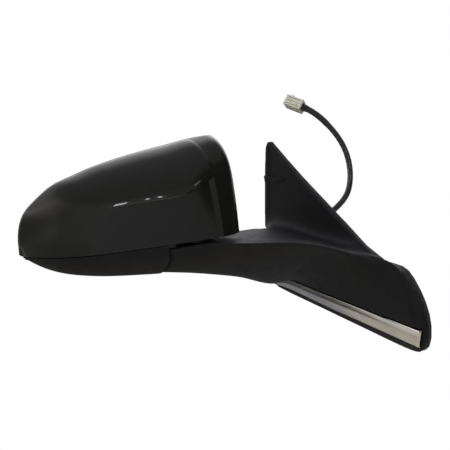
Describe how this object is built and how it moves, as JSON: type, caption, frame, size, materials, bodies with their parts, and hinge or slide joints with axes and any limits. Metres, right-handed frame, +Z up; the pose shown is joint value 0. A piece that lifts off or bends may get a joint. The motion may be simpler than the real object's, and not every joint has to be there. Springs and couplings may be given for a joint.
{
  "type": "car side mirror",
  "caption": "Folding car side mirror: gloss cap over a grained lower shell and arm, triangular sail foot with bright moulding, adjustable glass, and a door harness with plug.",
  "frame": {"origin": "on the door mounting plane, on the bracket's middle bearing pad, below the arm", "axes": "+X inboard into the door, +Y rearward along the car, +Z up; the head stands out towards -X"},
  "size_m": [0.3517, 0.2895, 0.2507],
  "materials": {
    "black": "fine satin moulding",
    "cast": "pressure die-cast",
    "chrome": "bright moulding, satin",
    "foil": "printed heater film",
    "gloss": "gloss painted shell",
    "grey": "satin moulding",
    "matte": "grained moulding",
    "mirror": "silvered glass",
    "natural": "natural polymer",
    "rubber": "soft black",
    "steel": "zinc plated",
    "white": "acetal",
    "zinc": "passivated fixing"
  },
  "bodies": {
    "base": {"base_bracket": "cast", "base_cover": "matte", "base_gasket": "rubber", "belt_trim": "chrome", "belt_trim_seal": "rubber", "stud_upper": "zinc", "stud_rear": "zinc", "stud_front": "zinc", "locating_pin": "steel", "cover_screw_1": "zinc", "cover_screw_2": "zinc", "sail_clip": "natural", "pivot_post": "zinc", "detent_ring_lower": "steel", "spring_cap": "steel", "harness_door": "rubber", "harness_grommet": "rubber", "connector_housing": "natural", "connector_insert": "grey"},
    "latch": {"connector_latch": "natural"},
    "head": {"cap_cover": "gloss", "lower_cover": "matte", "head_frame": "black", "swivel_bracket": "cast", "detent_ring_upper": "steel", "fold_spring": "steel", "swivel_screw_1": "zinc", "swivel_screw_2": "zinc", "swivel_screw_3": "zinc", "actuator_cover": "grey", "actuator_case": "grey", "actuator_screw_1": "zinc", "actuator_screw_2": "zinc", "actuator_screw_3": "zinc", "tilt_motor": "steel", "pan_motor": "steel", "head_harness": "rubber"},
    "gimbal": {"gimbal_ring": "white"},
    "glass": {"mirror_glass": "mirror", "heater_pad": "foil", "glass_holder": "black"},
    "tilt_plunger": {"tilt_plunger": "white"},
    "pan_plunger": {"pan_plunger": "white"},
    "tilt_wheel": {"tilt_wheel": "white"},
    "pan_wheel": {"pan_wheel": "white"}
  },
  "joints": [
    {"name": "head_fold", "type": "hinge", "parent": "base", "child": "head", "pos_m": [-0.149, 0.025, 0.04], "axis": [0, 0, -1], "range_deg": [-45, 58]},
    {"name": "glass_tilt", "type": "hinge", "parent": "head", "child": "gimbal", "pos_m": [-0.20613, 0.07579, 0.075], "axis": [-0.9781, 0.2079, 0], "range_deg": [-7, 7]},
    {"name": "glass_pan", "type": "hinge", "parent": "gimbal", "child": "glass", "pos_m": [-0.20613, 0.07579, 0.075], "axis": [0, 0, 1], "range_deg": [-5, 5]},
    {"name": "tilt_push", "type": "slide", "parent": "head", "child": "tilt_plunger", "axis": [-0.2079, -0.9781, 0], "range_m": [-0.0038, 0.0038]},
    {"name": "pan_push", "type": "slide", "parent": "head", "child": "pan_plunger", "axis": [-0.2079, -0.9781, 0], "range_m": [-0.0033, 0.0033]},
    {"name": "tilt_drive", "type": "hinge", "parent": "head", "child": "tilt_wheel", "pos_m": [-0.21039, 0.05574, 0.049], "axis": [-0.2079, -0.9781, 0], "range_deg": [-175, 175]},
    {"name": "pan_drive", "type": "hinge", "parent": "head", "child": "pan_wheel", "pos_m": [-0.18104, 0.0495, 0.075], "axis": [-0.2079, -0.9781, 0], "range_deg": [-150, 150]},
    {"name": "latch_release", "type": "hinge", "parent": "base", "child": "latch", "pos_m": [0.03006, 0.05929, 0.16926], "axis": [0.7687, 0.4625, -0.4418], "range_deg": [0, 5], "stiffness_Nm_per_rad": 0.02}
  ],
  "couplings": [
    {"joint": "tilt_push", "follows": "glass_tilt", "m_per_rad": 0.026},
    {"joint": "pan_push", "follows": "glass_pan", "m_per_rad": -0.029999},
    {"joint": "tilt_drive", "follows": "glass_tilt", "ratio": 20.42},
    {"joint": "pan_drive", "follows": "glass_pan", "ratio": -23.561}
  ]
}
